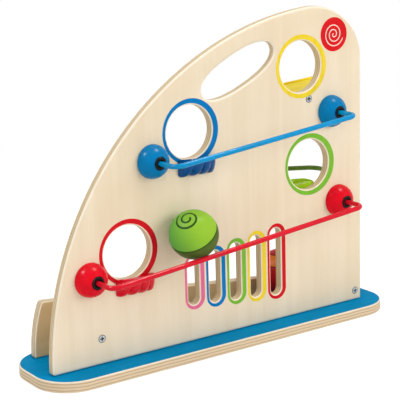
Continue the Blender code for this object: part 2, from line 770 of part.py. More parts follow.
def ball_on_rail(colour, from_right):
    """Centre of a ball that leans on the panel and rests on a wire, clear of both by the seat gap."""
    face_y, out = FACES[RAILS[colour]["face"]]
    low_x, low_z = rail_end(colour, "low")
    high_x, high_z = rail_end(colour, "high")
    slope = (high_z - low_z) / (high_x - low_x)
    away = BALL_RADIUS + SEAT_GAP
    reach = BALL_RADIUS + RAIL_RADIUS + SEAT_GAP
    above = math.sqrt(reach ** 2 - (RAIL_STANDOFF - away) ** 2) / math.cos(math.atan(slope))
    x = place_x(from_right)
    return (x, face_y + out * away, low_z + (x - low_x) * slope + above)


def ball_on_wall(from_right):
    """Centre of a ball that leans on the panel's back and rests on the rear wall's inner top edge."""
    away = BALL_RADIUS + SEAT_GAP
    reach = BALL_RADIUS + SEAT_GAP + WALL_EDGE_ROUND
    across = WALL_CHANNEL + WALL_EDGE_ROUND - away
    above = math.sqrt(reach ** 2 - across ** 2) - WALL_EDGE_ROUND
    x = place_x(from_right)
    return (x, PANEL_BACK_Y + away, wall_top(x) + above / math.cos(WALL_RUN_DROP))


def build():
    base = make_base_board()
    panel = make_main_panel()
    wall = make_rear_wall()
    shelf = make_start_shelf()
    for side, (from_right, height) in SPACERS.items():
        make_spacer(side, from_right, height)
        front = (place_x(from_right), PANEL_FRONT_Y, place_z(height))
        add_screw("front_screw_" + side, PANEL_SCREW_LENGTH, front, "front", [panel])
        back = (place_x(from_right), WALL_BACK_Y, place_z(height))
        add_screw("rear_screw_" + side, REAR_SCREW_LENGTH, back, "back", [wall])
    at_shelf = (place_x(SHELF_SCREW[0]), PANEL_FRONT_Y, place_z(SHELF_SCREW[1]))
    add_screw("shelf_screw", PANEL_SCREW_LENGTH, at_shelf, "front", [panel, shelf])
    under_panel = [(x, (PANEL_FRONT_Y + PANEL_BACK_Y) / 2, panel) for x in BASE_SCREWS_PANEL]
    under_wall = [(x, (WALL_FRONT_Y + WALL_BACK_Y) / 2, wall) for x in BASE_SCREWS_WALL]
    for number, (from_right, y, held) in enumerate(under_panel + under_wall, 1):
        add_screw(
            f"base_screw_{number}", BASE_SCREW_LENGTH, (place_x(from_right), y, 0), "below", [base, held]
        )
    for colour in RAILS:
        make_rail(colour)
        for end in ("low", "high"):
            make_rail_end(colour, end, panel)
        make_lip(colour)
    add_ball("green_ball", BALL_GREEN, ball_on_rail("red", GREEN_BALL_PLACE))
    add_ball("red_ball", BALL_RED, ball_on_wall(RED_BALL_PLACE))


build()
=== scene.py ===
"""Looks of the two-sided wooden ball run: fine pieces over the CAD frame, materials, studio and camera.

Metres, +Z up, in the frame of the CAD model. X runs along the panel and the front faces -Y.
"""
import json
from math import acos, asin, atan2, copysign, cos, dist, pi, radians, sin, sqrt, tan

import bmesh
import bpy
from mathutils import Matrix, Vector
from mathutils.geometry import tessellate_polygon


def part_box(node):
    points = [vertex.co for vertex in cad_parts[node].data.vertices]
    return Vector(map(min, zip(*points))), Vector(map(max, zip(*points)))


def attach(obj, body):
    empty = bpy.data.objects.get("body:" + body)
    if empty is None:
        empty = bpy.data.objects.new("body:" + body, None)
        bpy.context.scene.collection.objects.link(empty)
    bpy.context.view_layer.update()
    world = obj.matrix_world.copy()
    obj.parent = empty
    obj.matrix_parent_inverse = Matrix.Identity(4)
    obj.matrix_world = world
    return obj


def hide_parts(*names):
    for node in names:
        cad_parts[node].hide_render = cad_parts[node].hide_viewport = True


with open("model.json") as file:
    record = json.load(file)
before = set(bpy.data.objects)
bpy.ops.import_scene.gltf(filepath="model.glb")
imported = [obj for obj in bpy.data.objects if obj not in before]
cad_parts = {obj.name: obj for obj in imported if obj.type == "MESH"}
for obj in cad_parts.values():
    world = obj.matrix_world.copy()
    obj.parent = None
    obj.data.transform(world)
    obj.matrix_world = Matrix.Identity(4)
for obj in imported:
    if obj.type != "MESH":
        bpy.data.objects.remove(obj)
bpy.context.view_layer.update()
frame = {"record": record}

# Camera, fitted to the photograph
CAMERA_AZIMUTH = radians(-34.24)
CAMERA_ELEVATION = radians(13.04)
CAMERA_ROLL = radians(-1.72)
CAMERA_DISTANCE = 1.145
CAMERA_TARGET = Vector((-0.0238, -0.0124, 0.1425))
CAMERA_LENS = 113.65           # millimetres, on a sensor 36 wide
SENSOR_WIDTH = 36.0
CAMERA_TURN = (  # its columns are the camera's right, up and backward directions
    Matrix.Rotation(CAMERA_AZIMUTH, 3, "Z")
    @ Matrix.Rotation(pi / 2 - CAMERA_ELEVATION, 3, "X")
    @ Matrix.Rotation(CAMERA_ROLL, 3, "Z")
)

# Main panel
PANEL_HEIGHT = 0.2989
PANEL_ARCH_RUN = 0.3142
PANEL_ARCH_CENTRE = 0.0383     # from the right edge
PANEL_CORNER_RUN = 0.0624
PANEL_CORNER_DROP = 0.0533
PANEL_FOOT_ROUND = 0.003
PANEL_EDGE_ROUND = 0.0029
HOLE_RADIUS = 0.0245
HOLE_EDGE_ROUND = 0.0013
HANDLE_CENTRE = (0.1475, 0.2459)
HANDLE_HALF_LENGTH = 0.0438
HANDLE_HALF_HEIGHT = 0.0153
HANDLE_TILT = radians(24.1)
HANDLE_POWER = 2.32
HANDLE_EDGE_ROUND = 0.0032
SLOT_WIDTH = 0.0125
SLOT_FIRST_TOP = 0.0792
SLOT_FIRST_BOTTOM = 0.0350
SLOT_TOP_STEP = 0.0031
SLOT_BOTTOM_STEP = 0.0023

# Paint on the panel
FILM = 0.00008                 # thickness of the paint
FILM_SUNK = 0.00003            # how far its edge goes into the wood
RING_RADIUS = 0.0300
RING_SHIFT = {"blue": 0.0013, "yellow": 0.0009, "green": 0.0015, "red": 0.0010}
BAND_WIDTH = 0.0217
BAND_SHIFT = 0.0010
BAND_MARGIN = 0.0045           # above and below the slot
BAND_COLOURS = ("pink", "blue", "green", "yellow", "red")
DISC_CENTRE = (0.0347, 0.2696)
DISC_RADIUS = 0.0162
DISC_SPIRAL = (radians(108), radians(954), 0.0004, 0.011795)  # start, sweep, first and last radius
DISC_SPIRAL_LINE = 0.0012

# Base board and rear wall
BASE_CORNER = 0.036
BASE_EDGE_ROUND = 0.0012
WALL_RUN_DROP = radians(5.8)
WALL_LEFT_TOP_HEIGHT = 0.0532
WALL_END_RUN = 0.041           # half axes of the oval that the left end follows
WALL_END_RISE = 0.080
WALL_CORNER = 0.004
WALL_RIGHT_CORNER = 0.003
WALL_EDGE_ROUND = 0.0015

# Start shelf
SHELF_LENGTH = 0.102
SHELF_THICK = 0.015
SHELF_FLOOR_DEPTH = 0.0445
SHELF_LIP_THICK = 0.004
SHELF_LIP_HEIGHT = 0.0016
SHELF_TILT = radians(4.5)
SHELF_EDGE_ROUND = 0.0008
SHELF_CORNER = 0.0012

# Rails, beads, bushes and lips
SEAT_GAP = 0.0003
RAIL_RADIUS = 0.00235
RAIL_BEND = 0.009
RAIL_TIP = 0.8                 # of the radius, at a wire's hidden ends
BEAD_RADIUS = 0.0155
BEAD_HEIGHT = 0.0150
BEAD_SEAT_DEPTH = 0.0045       # of the seat for the bush
BEAD_SEAT_ROUND = 0.0004
BEAD_SEAT_MIDDLE = 0.3         # of that radius: how far in the rounding's middle lies
BUSH_RADIUS = 0.0058
BUSH_BORE = 0.0034
BUSH_BORE_DEPTH = 0.55         # of the bush's length
BUSH_ROUND = 0.0009
LIP_HALF_WIDTH = 0.0195
LIP_END_SHARE = 0.985          # of the half width: where the blunt ends lie
LIP_REACH = 0.0160
LIP_HEIGHT = 0.0178
LIP_LOBES = 4
LIP_GROOVE = 0.0034
LIP_GROOVE_WIDTH = 0.96        # how much of its arc a lobe shows: less makes the grooves shallower
LIP_GROOVE_REACH = 0.6         # of a groove's depth: how far it draws the front edge in
LIP_LEAST_REACH = 0.0036
LIP_DISH = 0.0028
LIP_RIM = 0.0012
LIP_FRONT_START = radians(4)
LIP_END_RUN = 0.0070           # how far from each end the rim starts to fall
LIP_END_DROP = 0.0025

# Screws and dowels
SCREW_HEAD_RADIUS = 0.0037
SCREW_HEAD_DEPTH = 0.0022
SCREW_RIM = 0.0006             # width of the ring of painted shade around the head's face
SCREW_EDGE = 0.0002
SCREW_SHANK_RADIUS = 0.0016
SCREW_POINT = 0.003
CROSS_WIDTH = 0.0011
CROSS_LENGTH = 0.0042
CROSS_DEPTH = 0.0014
CROSS_TAPER = 0.6              # size of the recess's floor, as a share of its mouth
DOWEL_CHAMFER = 0.0006

# Balls: the axis that the halves share, and what is painted around it
GREEN_POLE_SEEN = (-0.33, 0.66, 0.675)     # to the right, up and towards the photograph's camera
GREEN_SPIRAL_SEEN = (-0.257, 0.645, 0.72)
BALL_LIT_SIDE_SEEN = (0.75, 0.35, 0.55)       # painted light: where the green ball's light half turns yellower, on its lit side
BALL_LIT_SIDE_REACH = 0.024
GREEN_HALF_HEIGHT = 0.09       # of the radius: where the light half ends
GREEN_SPIRAL = (radians(135), radians(615), 0.49, 0.10)  # the same four, for a radius of 1
GREEN_SPIRAL_LINE = 0.0021
RED_BAND_LOW = 0.41            # of the radius
RED_BAND_HIGH = 0.848
BALL_GROOVE_ANGLE = radians(1.6)
BALL_GROOVE_DEPTH = 0.00035

# A painted line's section, as shares of its half width and its height, and its narrowest place
LINE_SECTION = ((-1.0, -1.0), (-0.7, 0.8), (0.0, 1.0), (0.7, 0.8), (1.0, -1.0))
LINE_TIP = 0.12

# Degrees between faces from which an edge shows as sharp
SHARP_FROM = 35
LIP_SHARP_FROM = 45
WIRE_SHARP_FROM = 50

# Facets
OUTLINE_STEPS = 128
HOLE_STEPS = 96
SLOT_END_STEPS = 20
CORNER_STEPS = 24
ROUND_STEPS = 4                # on the rounded rim of a board
WIDE_ROUND_STEPS = 8
TURN_STEPS = 72
SMALL_TURN_STEPS = 40
TUBE_SIDES = 20
BEND_STEPS = 16
BUSH_ROUND_STEPS = 6
LOBE_STEPS = 12
WALL_END_STEPS = 32
LIP_ARC_STEPS = 18
LIP_RIM_STEPS = 5
BALL_RINGS = 48
SPIRAL_STEPS_PER_TURN = 60

# Wood: the layers, and the stretch that draws the grain out along one axis
PANEL_PLIES = 7
BASE_PLIES = 7
UPRIGHT_GRAIN = (1.0, 1.0, 0.05)
LEVEL_GRAIN = (0.05, 1.0, 1.0)
NO_GRAIN = (1.0, 1.0, 1.0)

# Roughness and gloss of each finish, or its gloss alone
BEAD_FINISH = (0.24, 0.07)
WIRE_FINISH = (0.20, 0.13)
GREEN_BALL_FINISH = (0.40, 0.05)
RED_BALL_FINISH = (0.40, 0.10)
BUSH_FINISH = (0.35, 0.12)
LIP_FINISH = (0.14, 0.15)
PLYWOOD_GLOSS = 0.15
WOOD_GLOSS = 0.12
PAINT_GLOSS = 0.07
BASE_PAINT_GLOSS = 0.01
STEEL_GLOSS = 0.5

# Places read from the CAD model
PANEL_LOW, PANEL_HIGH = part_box("main_panel")
BASE_LOW, BASE_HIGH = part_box("base_board")
WALL_LOW, WALL_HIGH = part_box("rear_wall")
RIGHT_X = PANEL_HIGH.x
TABLE_Z = BASE_HIGH.z
OPENINGS = {o["name"]: o["box_m"] for o in frame["record"]["physics"]["openings"]}
FACES = {"front": (PANEL_LOW.y, -1), "back": (PANEL_HIGH.y, 1)}
RAIL_FACES = {"blue": "front", "red": "front", "green": "back"}
SCREWS = {  # by the side that their heads are on
    "front": ("front_screw_left", "front_screw_right", "shelf_screw"),
    "back": ("rear_screw_left", "rear_screw_right"),
    "below": tuple(f"base_screw_{i}" for i in range(1, 6)),
}


def opening_centre(name):
    """X and Z of the middle of an opening in the panel."""
    low, high = OPENINGS[name]
    return (low[0] + high[0]) / 2, (low[2] + high[2]) / 2


def centre_of(node):
    low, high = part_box(node)
    return (low + high) / 2


def size_of(node):
    low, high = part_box(node)
    return high - low


def linear(red, green, blue):
    """A colour given as 0 to 255 on screen, in the shader's linear values."""
    def channel(value):
        share = value / 255
        return share / 12.92 if share <= 0.04045 else ((share + 0.055) / 1.055) ** 2.4
    return (channel(red), channel(green), channel(blue), 1.0)


def darker(colour, share):
    return (*(c * share for c in colour[:3]), 1.0)


# Colours, as on screen
WOOD_LIGHT = linear(240, 225, 200)
WOOD_DARK = linear(229, 211, 181)
WOOD_RIM_SHEEN = linear(246, 236, 218)  # painted highlight: the paler colour of rounded rims where they catch the light
PANEL_PLY = (linear(222, 202, 166), linear(198, 170, 128))
BASE_PLY = (linear(222, 204, 174), linear(202, 174, 138))
# The rear wall's veneer, darker and warmer than the panel's: painted shade of the narrow channel between the
# panel and the wall
WALL_LIGHT = linear(228, 197, 150)
WALL_DARK = linear(215, 181, 131)
PLY_GLUE = linear(140, 112, 78)
DOWEL_LIGHT = linear(222, 196, 152)
DOWEL_DARK = linear(196, 164, 116)
PAINTS = {
    "blue": linear(2, 122, 192),
    "yellow": linear(242, 214, 52),
    "green": linear(124, 190, 56),
    "red": linear(216, 24, 38),
    "pink": linear(238, 116, 160),
}
BASE_BLUE = linear(0, 142, 198)
SPIRAL_WHITE = linear(252, 224, 212)
DISC_RED = linear(220, 28, 34)
WIRES = {"blue": linear(0, 146, 206), "green": linear(104, 142, 52), "red": linear(220, 18, 42)}
BEADS = {"blue": linear(0, 124, 184), "green": linear(110, 178, 50), "red": linear(230, 14, 36)}
LIPS = {"blue": linear(0, 80, 146), "green": linear(164, 206, 34), "red": linear(224, 12, 36)}
SHELF_YELLOW = linear(242, 220, 14)
SHELF_STREAK = linear(230, 198, 8)
# The green ball's light half: its colour on the side away from the light, and a lit colour painted on the
# side towards it
BALL_LEAF_GREEN = linear(84, 176, 78)
BALL_LIT_LIME = linear(148, 194, 54)
BALL_DARK_GREEN = linear(84, 104, 42)
# The green ball's printed spiral, whose colour also fills its seam's groove as painted shade
BALL_LINE_GREEN = linear(44, 84, 26)
BALL_RED = linear(196, 22, 30)
# Painted shade in the red ball's seam grooves: its red, darkened
BALL_GROOVE_SHADE_RED = darker(BALL_RED, 0.4)
BALL_ORANGE = linear(236, 124, 30)
BUSH_BLACK = linear(30, 28, 28)
STEEL = linear(206, 210, 214)


def feed(tree, node, inputs):
    """Sets a node's inputs, each to a value or from the socket that leads into it."""
    for key, value in inputs.items():
        if isinstance(value, bpy.types.NodeSocket):
            tree.links.new(value, node.inputs[key])
        else:
            node.inputs[key].default_value = value


def add_node(tree, kind, inputs=None, **settings):
    node = tree.nodes.new(kind)
    for key, value in settings.items():
        setattr(node, key, value)
    feed(tree, node, inputs or {})
    return node


class Shading:
    """One material's nodes, with short calls for those that the materials here share."""

    def __init__(self, name):
        self.material = bpy.data.materials.new(name)
        self.material.use_nodes = True
        self.tree = self.material.node_tree
        self.place = self.node("ShaderNodeTexCoord").outputs["Object"]
        self.normal = self.node("ShaderNodeNewGeometry").outputs["Normal"]

    def node(self, kind, inputs=None, **settings):
        return add_node(self.tree, kind, inputs, **settings)

    def maths(self, operation, first, second=0.0):
        return self.node("ShaderNodeMath", {0: first, 1: second}, operation=operation).outputs[0]

    def times(self, first, second):
        return self.maths("MULTIPLY", first, second)

    def weighed(self, first, first_share, second, second_share):
        """The sum of two values, each times its share."""
        return self.maths("ADD", self.times(first, first_share), self.times(second, second_share))

    def vector_maths(self, operation, output, *vectors):
        inputs = dict(enumerate(vectors))
        return self.node("ShaderNodeVectorMath", inputs, operation=operation).outputs[output]

    def axis(self, vector, name):
        return self.node("ShaderNodeSeparateXYZ", {0: vector}).outputs[name]

    def noise(self, scale, stretch=NO_GRAIN, detail=4.0, roughness=0.55, distortion=0.0):
        """Noise over the piece's own place, drawn out along the axes with a small stretch value."""
        inputs = {
            "Vector": self.vector_maths("MULTIPLY", "Vector", self.place, stretch),
            "Scale": scale, "Detail": detail, "Roughness": roughness, "Distortion": distortion,
        }
        return self.node("ShaderNodeTexNoise", inputs).outputs["Fac"]

    def between(self, value, low, high, to_low=0.0, to_high=1.0):
        """Value mapped smoothly from one range to another, and held at its ends."""
        inputs = {0: value, 1: low, 2: high, 3: to_low, 4: to_high}
        return self.node("ShaderNodeMapRange", inputs, interpolation_type="SMOOTHSTEP").outputs[0]

    def mix(self, factor, first, second):
        inputs = {0: factor, 6: first, 7: second}
        return self.node("ShaderNodeMix", inputs, data_type="RGBA").outputs[2]

    def finish(self, colour, roughness, gloss, height, strength, distance, metallic=0.0):
        """The material, bumpy by a height with the bump's strength and distance."""
        inputs = {"Strength": strength, "Distance": distance, "Height": height}
        feed(self.tree, self.tree.nodes["Principled BSDF"], {
            "Base Color": colour, "Roughness": roughness, "Specular IOR Level": gloss,
            "Metallic": metallic, "Normal": self.node("ShaderNodeBump", inputs).outputs["Normal"],
        })
        return self.material


def plywood(name, axis, low, thickness, plies, grain, edge_tones, light=WOOD_LIGHT, dark=WOOD_DARK):
    """Pale lacquered plywood: veneer on the faces, layers on the edges.

    The board is thin along the axis and starts there at low. The grain draws the veneer's figure out
    along the board, and edge_tones are the colours of its two kinds of layer.
    """
    s = Shading(name)
    # Veneer, with clouds and dark pores
    figure = s.noise(55, grain, detail=5, distortion=0.6)
    fibres = s.noise(900, grain, detail=3, roughness=0.7)
    tone = s.weighed(figure, 0.45, s.noise(9, detail=2), 0.55)
    face = s.mix(s.between(tone, 0.32, 0.70), light, dark)
    pores = s.between(fibres, 0.60, 0.78)
    face = s.mix(s.times(pores, 0.12), face, darker(dark, 0.62))
    # Layers that waver, with glue where the two kinds meet
    layer = s.maths("DIVIDE", s.maths("SUBTRACT", s.axis(s.place, axis), low), thickness)
    waver = s.times(s.maths("SUBTRACT", s.noise(60, detail=2), 0.5), 0.10)
    wave = s.maths("SINE", s.times(s.maths("ADD", layer, waver), pi * plies))
    ends = s.noise(1500, detail=2, roughness=0.8)
    brown = s.mix(s.between(ends, 0.35, 0.7), edge_tones[1], darker(edge_tones[1], 0.84))
    edge = s.mix(s.between(wave, -0.35, -0.8), edge_tones[0], brown)
    glue = s.between(s.maths("ABSOLUTE", s.maths("ADD", wave, 0.35)), 0.2, 0.0)
    edge = s.mix(s.times(glue, 0.22), edge, PLY_GLUE)
    # The face, its rounded rim with a painted highlight, and the edge, told apart by how the surface faces
    facing = s.maths("ABSOLUTE", s.axis(s.normal, axis))
    rim_sheen = s.times(s.between(facing, 0.98, 0.80), s.between(ends, 0.3, 0.7, 0.75, 1.0))
    face = s.mix(rim_sheen, face, WOOD_RIM_SHEEN)
    colour = s.mix(s.between(facing, 0.60, 0.25), face, edge)
    rough = s.between(fibres, 0.3, 0.7, 0.42, 0.56)
    return s.finish(colour, rough, PLYWOOD_GLOSS, s.weighed(figure, 0.5, pores, -0.5), 0.25, 0.0003)


def solid_wood(name, light, dark, grain):
    """Bare or stained wood with its grain drawn out along one axis."""
    s = Shading(name)
    figure = s.noise(160, grain, detail=5, distortion=0.8)
    fibres = s.noise(1100, grain, detail=3, roughness=0.7)
    colour = s.mix(s.between(figure, 0.35, 0.68), light, dark)
    colour = s.mix(s.between(fibres, 0.58, 0.8, 0.0, 0.25), colour, darker(dark, 0.6))
    rough = s.between(fibres, 0.3, 0.7, 0.42, 0.6)
    return s.finish(colour, rough, WOOD_GLOSS, figure, 0.2, 0.0003)


def paint(name, colour, grain, gloss=PAINT_GLOSS):
    """Paint on wood: the grain shows through faintly, and it thins in places."""
    s = Shading(name)
    through = s.noise(420, grain, detail=4, roughness=0.65)
    tone = s.weighed(through, 0.6, s.noise(30, detail=3), 0.4)
    shade = s.mix(s.between(tone, 0.35, 0.68), colour, darker(colour, 0.86))
    return s.finish(shade, s.between(through, 0.3, 0.7, 0.42, 0.56), gloss, through, 0.12, 0.0002)


def lacquer(name, colour, roughness, gloss, second=None, towards=(1, 0, 0)):
    """Gloss lacquer on turned wood or wire: faint orange peel and a slightly uneven colour.

    A second colour takes over along the given direction: painted light, the lit side of a ball drawn in a
    yellower colour.
    """
    s = Shading(name)
    cloud = s.noise(70, detail=3)
    if second:
        # Painted light: towards the lit side the second colour takes over
        along = s.vector_maths("DOT_PRODUCT", "Value", s.place, towards)
        colour = s.mix(s.between(along, -BALL_LIT_SIDE_REACH, BALL_LIT_SIDE_REACH), colour, second)
    else:
        colour = s.mix(s.between(cloud, 0.35, 0.68), colour, darker(colour, 0.88))
    rough = s.between(cloud, 0.3, 0.7, roughness * 0.9, roughness * 1.2)
    return s.finish(colour, rough, gloss, s.noise(700, detail=2, roughness=0.4), 0.05, 0.0002)


def plastic(name, colour, roughness, gloss):
    """Moulded plastic with a fine spark-eroded grain."""
    s = Shading(name)
    grain = s.noise(1800, detail=2, roughness=0.6)
    shade = s.mix(s.between(s.noise(120, detail=2), 0.35, 0.68), colour, darker(colour, 0.85))
    rough = s.between(grain, 0.3, 0.7, roughness * 0.85, roughness * 1.2)
    return s.finish(shade, rough, gloss, grain, 0.1, 0.0001)


def plated_steel(name):
    """Zinc-plated steel, slightly mottled, with painted shade around the head's rim and in its cross recess.
    """
    s = Shading(name)
    mottle = s.noise(900, detail=4, roughness=0.7)
    shade = s.mix(s.between(mottle, 0.35, 0.7), STEEL, darker(STEEL, 0.7))
    flat = s.vector_maths("MULTIPLY", "Vector", s.place, (1, 1, 0))
    # Painted shade: a dark ring at the head's rim and a dark cross where its recess is
    inner = SCREW_HEAD_RADIUS - SCREW_RIM
    rim = s.between(s.vector_maths("LENGTH", "Value", flat), inner - 0.0002, inner + 0.0003)
    across = [s.maths("ABSOLUTE", s.axis(s.place, letter)) for letter in "XY"]
    on_arm = s.between(s.maths("MINIMUM", *across), CROSS_WIDTH * 0.6, CROSS_WIDTH * 0.45)
    in_reach = s.between(s.maths("MAXIMUM", *across), CROSS_LENGTH * 0.52, CROSS_LENGTH * 0.48)
    shade = s.mix(s.maths("MAXIMUM", rim, s.times(on_arm, in_reach)), shade, darker(STEEL, 0.12))
    rough = s.between(mottle, 0.3, 0.7, 0.3, 0.46)
    return s.finish(shade, rough, STEEL_GLOSS, mottle, 0.08, 0.0001, metallic=1.0)


# Outlines

def oval_arc(centre, half_x, half_z, start, end, steps):
    """Points of an oval's arc between two angles, both ends included."""
    angles = [start + (end - start) * i / max(steps, 1) for i in range(steps + 1)]
    return [(centre[0] + half_x * cos(a), centre[1] + half_z * sin(a)) for a in angles]


def circle(centre, radius, steps):
    return oval_arc(centre, radius, radius, 0, 2 * pi * (1 - 1 / steps), steps - 1)


def slot_outline(centre_x, bottom, top, width):
    """A vertical slot with half-round ends."""
    half = width / 2
    upper = oval_arc((centre_x, top - half), half, half, 0, pi, SLOT_END_STEPS)
    lower = oval_arc((centre_x, bottom + half), half, half, pi, 2 * pi, SLOT_END_STEPS)
    return upper + lower


def handle_outline():
    """The handle opening, a tilted superellipse."""
    centre = Vector((RIGHT_X - HANDLE_CENTRE[0], TABLE_Z + HANDLE_CENTRE[1]))
    points = []
    for cosine, sine in circle((0, 0), 1, HOLE_STEPS):
        along = HANDLE_HALF_LENGTH * copysign(abs(cosine) ** (2 / HANDLE_POWER), cosine)
        across = HANDLE_HALF_HEIGHT * copysign(abs(sine) ** (2 / HANDLE_POWER), sine)
        points.append(tuple(centre + Matrix.Rotation(HANDLE_TILT, 2) @ Vector((along, across))))
    return points


def rounded_polygon(corners, radii, steps):
    """An outline whose corners are replaced by arcs that touch both sides."""
    points = []
    for i, radius in enumerate(radii):
        here = Vector(corners[i])
        if radius == 0:
            points.append(tuple(here))
            continue
        before = Vector(corners[i - 1]) - here
        after = Vector(corners[(i + 1) % len(corners)]) - here
        to_before = atan2(before.y, before.x)
        to_after = atan2(after.y, after.x)
        turn = (to_after - to_before + pi) % (2 * pi) - pi
        middle = to_before + turn / 2
        reach = radius / sin(abs(turn) / 2)
        centre = here + reach * Vector((cos(middle), sin(middle)))
        sweep = copysign(pi - abs(turn), turn)
        first = middle + pi + sweep / 2
        points += oval_arc(centre, radius, radius, first, first - sweep, steps)
    return points


# Meshes

def add_object(name, data):
    item = bpy.data.objects.new(name, data)
    bpy.context.scene.collection.objects.link(item)
    return item


def show(name, mesh, material, place=Matrix.Identity(4), body="frame", node=None):
    """Puts a mesh into the scene as a piece of the object, in a CAD node's stead if one is named."""
    piece = add_object(name, mesh)
    piece.matrix_world = place
    for item in material if isinstance(material, list) else [material]:
        mesh.materials.append(item)
    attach(piece, body)
    if node:
        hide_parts(node)
    return piece


def even_normals(piece):
    """Keeps big flat faces flat beside their rounded edges."""
    modifier = piece.modifiers.new("even_normals", "WEIGHTED_NORMAL")
    modifier.keep_sharp = True


def to_mesh(name, work):
    mesh = bpy.data.meshes.new(name)
    bmesh.ops.recalc_face_normals(work, faces=work.faces)
    work.to_mesh(mesh)
    work.free()
    return mesh


def smooth(mesh, angle=radians(SHARP_FROM)):
    mesh.shade_smooth()
    mesh.set_sharp_from_angle(angle=angle)
    return mesh


def inset(outline, distance):
    """The outline moved to its left by a distance, with mitred corners."""
    moved = []
    for before, here, after in zip(outline[-1:] + outline[:-1], outline, outline[1:] + outline[:1]):
        left = (Vector(here) - Vector(before)).normalized().orthogonal()
        left_after = (Vector(after) - Vector(here)).normalized().orthogonal()
        middle = (left + left_after).normalized()
        moved.append(Vector(here) + middle * (distance / middle.dot(left)))
    return moved


def with_left(outline, inside):
    """The outline in the order that has its inside, or else its outside, on the left."""
    following = outline[1:] + outline[:1]
    area = sum(x0 * y1 - x1 * y0 for (x0, y0), (x1, y1) in zip(outline, following))
    return outline if (area > 0) == inside else outline[::-1]


def skin(work, rings, capped=False):
    """Faces from each ring of points to the next, and over the first and last if they are capped."""
    for near, far in zip(rings, rings[1:]):
        for i in range(len(near)):
            k = (i + 1) % len(near)
            work.faces.new((near[i], near[k], far[k], far[i]))
    if capped:
        work.faces.new(rings[0])
        work.faces.new(rings[-1])


def loft(name, rings, sharp_from):
    """Mesh through rings of points, closed over the first and the last."""
    work = bmesh.new()
    skin(work, [[work.verts.new(point) for point in ring] for ring in rings], capped=True)
    return smooth(to_mesh(name, work), radians(sharp_from))


def rounded_rims(thickness, width, steps=ROUND_STEPS):
    """A plate's side from its lower face to its upper: how far it's cut back at each height."""
    rim = oval_arc((width, thickness / 2 - width), width, width, pi, pi / 2, steps)
    return [(shift, -height) for shift, height in reversed(rim)] + rim


def screw_holes(side, thickness):
    """Countersunk holes in a plate, for the screws that have their heads on one side of the object.

    The upper face of a plate is the front one when it stands, and its heads are below when it lies.
    """
    half = thickness / 2
    spread = SCREW_HEAD_RADIUS - SCREW_SHANK_RADIUS
    levels = [(0, -half), (0, half - SCREW_HEAD_DEPTH), (spread, half)]
    if side != "front":
        levels = [(shift, -height) for shift, height in reversed(levels)]
    holes = []
    for node in SCREWS[side]:
        middle = centre_of(node)
        centre = (middle.x, middle.y if side == "below" else middle.z)
        holes.append((circle(centre, SCREW_SHANK_RADIUS + SEAT_GAP, SMALL_TURN_STEPS), levels))
    return holes


def plate(name, outer, rims, holes=()):
    """Mesh of a flat plate in its own XY plane, centred on it in Z.

    The outline and each hole go with the levels that their sides have, as rounded_rims gives them.
    """
    work = bmesh.new()
    caps = ([], [])
    for outline, levels in [(outer, rims), *holes]:
        outline = with_left(outline, outline is outer)
        rings = []
        for shift, height in levels:
            rings.append([work.verts.new((*point, height)) for point in inset(outline, shift)])
        skin(work, rings)
        caps[0].append(rings[0])
        caps[1].append(rings[-1])
    for rings in caps:
        points = [point for ring in rings for point in ring]
        # In millimetres, because the filler joins points that are closer than 0.03 units.
        for corners in tessellate_polygon([[point.co * 1000 for point in ring] for ring in rings]):
            work.faces.new([points[i] for i in corners])
    mesh = to_mesh(name, work)
    mesh.shade_smooth()
    return mesh


def stand(mesh, y):
    """Turns a plate from its XY plane up into X and Z, with its middle at the given Y."""
    mesh.transform(Matrix.Translation((0, y, 0)) @ Matrix.Rotation(pi / 2, 4, "X"))
    return mesh


def film(name, outer, inner=None):
    """A thin layer of paint in X and Z: a band between two outlines with as many points, or a disc."""
    top = PANEL_LOW.y - FILM
    base = PANEL_LOW.y + FILM_SUNK
    work = bmesh.new()

    def ring(outline, y):
        return [work.verts.new((x, y, z)) for x, z in outline]

    rings = [ring(outer, base), ring(outer, top)]
    if inner:
        rings += [ring(inner, top), ring(inner, base)]
        skin(work, rings + rings[:1])
    else:
        skin(work, rings, capped=True)
    return to_mesh(name, work)


def directions(points):
    """The way that a path runs at each of its points."""
    path = points[:1] + points + points[-1:]
    return [(after - before).normalized() for before, after in zip(path, path[2:])]


def ribbon(name, points, normals, width, height):
    """A thin painted line along points on a surface, with rounded ends."""
    half = width / 2
    rows = []
    travelled = [0.0]
    for near, far in zip(points, points[1:]):
        travelled.append(travelled[-1] + (far - near).length)
    for point, along, normal, way in zip(points, directions(points), normals, travelled):
        side = along.cross(normal).normalized()
        to_end = min(way, travelled[-1] - way)
        share = sqrt(max(0.0, 1 - (1 - min(1.0, to_end / half)) ** 2))
        reach = half * max(share, LINE_TIP)
        rows.append([point + side * reach * across + normal * height * up for across, up in LINE_SECTION])
    return loft(name, rows, SHARP_FROM)


def turned(name, profile, steps, closed=True, materials=None):
    """Mesh turned around Z. The profile lists (radius, height) down the outer side, top to bottom."""
    work = bmesh.new()
    rings = []
    for radius, height in profile:
        if radius < 1e-7:
            rings.append([work.verts.new((0, 0, height))])
            continue
        rings.append([work.verts.new((x, y, height)) for x, y in circle((0, 0), radius, steps)])
    pairs = list(zip(rings, rings[1:]))
    if closed:
        pairs.append((rings[-1], rings[0]))
    for number, (near, far) in enumerate(pairs):
        for i in range(steps):
            k = (i + 1) % steps
            corners = [near[i % len(near)], near[k % len(near)], far[k % len(far)], far[i % len(far)]]
            face = work.faces.new(dict.fromkeys(corners))
            if materials:
                face.material_index = materials[number]
    return smooth(to_mesh(name, work))


def tube(name, points):
    """A rail's round wire along points, drawn in a little at its two ends."""
    runs = directions(points)
    side = runs[0].cross(Vector((0, 0, 1))).normalized()
    rings = []
    for i, (point, along) in enumerate(zip(points, runs)):
        side = (side - along * side.dot(along)).normalized()
        other = along.cross(side)
        reach = RAIL_RADIUS * (RAIL_TIP if i in (0, len(points) - 1) else 1)
        rings.append([point + x * side + y * other for x, y in circle((0, 0), reach, TUBE_SIDES)])
    return loft(name, rings, WIRE_SHARP_FROM)


